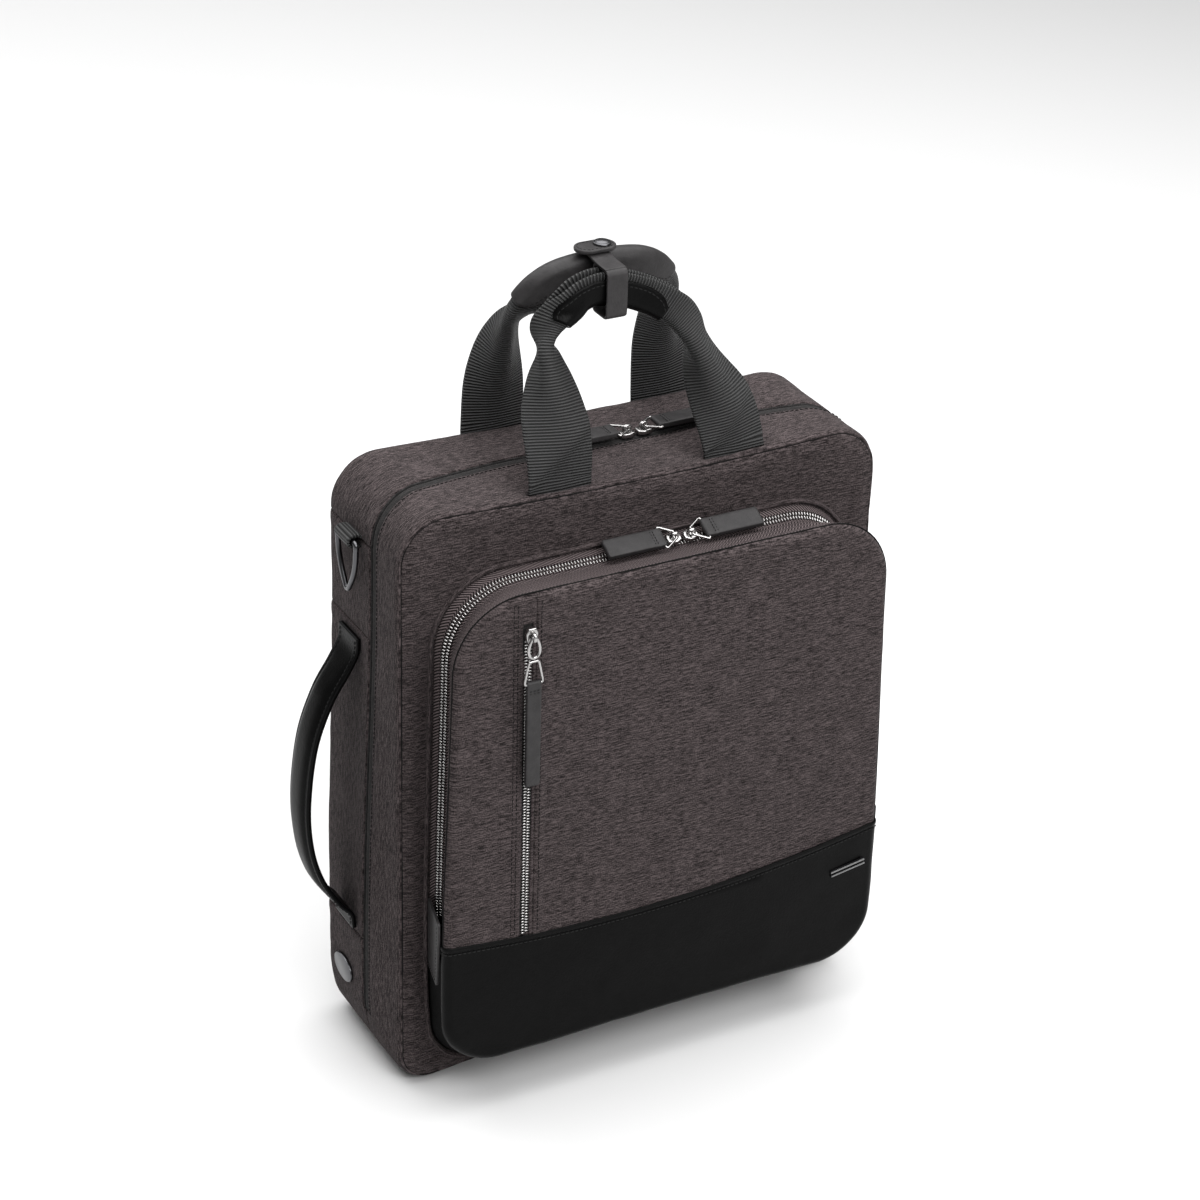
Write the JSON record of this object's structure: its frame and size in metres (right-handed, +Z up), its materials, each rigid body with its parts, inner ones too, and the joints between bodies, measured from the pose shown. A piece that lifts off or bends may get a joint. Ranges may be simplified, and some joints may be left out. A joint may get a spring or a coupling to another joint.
{
  "type": "convertible backpack",
  "caption": "Upright briefcase backpack in mottled cloth: leather-footed front pocket, metal zips, two folded webbing grips snapped together, padded side handle.",
  "frame": {"origin": "middle of the overall box, on the surface the bag stands on", "axes": "+Z up, the pocket side faces -Y, +X is the viewer's right when facing the pocket"},
  "size_m": [0.3582, 0.1536, 0.5051],
  "materials": {
    "body_cloth": "melange weave, matte",
    "zip_tape": "herringbone tape, matte",
    "leather": "smooth, low sheen",
    "webbing": "cross-ribbed webbing",
    "nickel": "polished nickel plate",
    "gunmetal": "dark plated, polished"
  },
  "bodies": {
    "bag": {"front_shell": "body_cloth", "back_shell": "body_cloth", "pocket_panel": "body_cloth", "pocket_welt": "body_cloth", "main_zip_tape": "zip_tape", "pocket_zip_tape": "zip_tape", "slit_zip_tape": "zip_tape", "leather_base": "leather", "corner_tab_left": "leather", "corner_tab_right": "leather", "grip_front": "leather", "grip_rear": "leather", "snap_strap": "leather", "snap_tab": "leather", "side_handle": "leather", "pocket_zip_tab_left": "leather", "pocket_zip_tab_right": "leather", "main_zip_tab_left": "leather", "main_zip_tab_right": "leather", "slit_zip_tab": "leather", "handle_front": "webbing", "handle_rear": "webbing", "ring_loop_left": "webbing", "ring_loop_right": "webbing", "pocket_zip_teeth": "nickel", "slit_zip_teeth": "nickel", "pocket_zip_slider_left": "nickel", "pocket_zip_slider_right": "nickel", "pocket_zip_ring_left": "nickel", "pocket_zip_ring_right": "nickel", "main_zip_slider_left": "nickel", "main_zip_slider_right": "nickel", "main_zip_ring_left": "nickel", "main_zip_ring_right": "nickel", "slit_zip_slider": "nickel", "slit_zip_ring": "nickel", "slit_zip_link": "nickel", "front_plate": "nickel", "side_badge": "gunmetal", "snap_button": "gunmetal"},
    "ring_left": {"d_ring_left": "gunmetal"},
    "ring_right": {"d_ring_right": "gunmetal"}
  },
  "joints": [
    {"name": "left_ring_hinge", "type": "hinge", "parent": "bag", "child": "ring_left", "pos_m": [-0.1458, 0.03037, 0.35], "axis": [0, 1, 0], "range_deg": [0, 150]},
    {"name": "right_ring_hinge", "type": "hinge", "parent": "bag", "child": "ring_right", "pos_m": [0.17502, 0.03037, 0.35], "axis": [0, -1, 0], "range_deg": [0, 150]}
  ]
}
